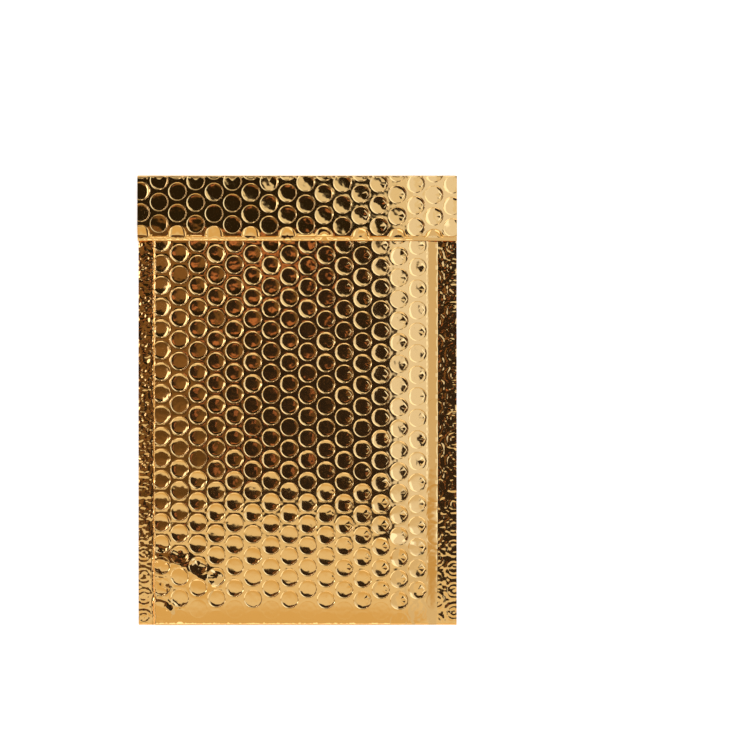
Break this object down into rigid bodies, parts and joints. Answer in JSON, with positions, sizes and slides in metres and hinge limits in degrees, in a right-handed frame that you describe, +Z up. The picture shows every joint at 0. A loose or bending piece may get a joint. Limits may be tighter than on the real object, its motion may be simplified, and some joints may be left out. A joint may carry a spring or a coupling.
{
  "type": "padded envelope",
  "caption": "Flat padded envelope of metallised bubble film with welded sides and its flap folded down over the front; it carries and cushions small goods in the post.",
  "frame": {"origin": "centre of the envelope's outline, on the surface that its back lies on", "axes": "+X to the right seen from the front, +Y along the length toward the folded flap, +Z up out of the front"},
  "size_m": [0.18, 0.253, 0.0076],
  "materials": {
    "gold_bubble_film": "gloss"
  },
  "bodies": {
    "root": {"padded_envelope": "gold_bubble_film"}
  },
  "joints": []
}
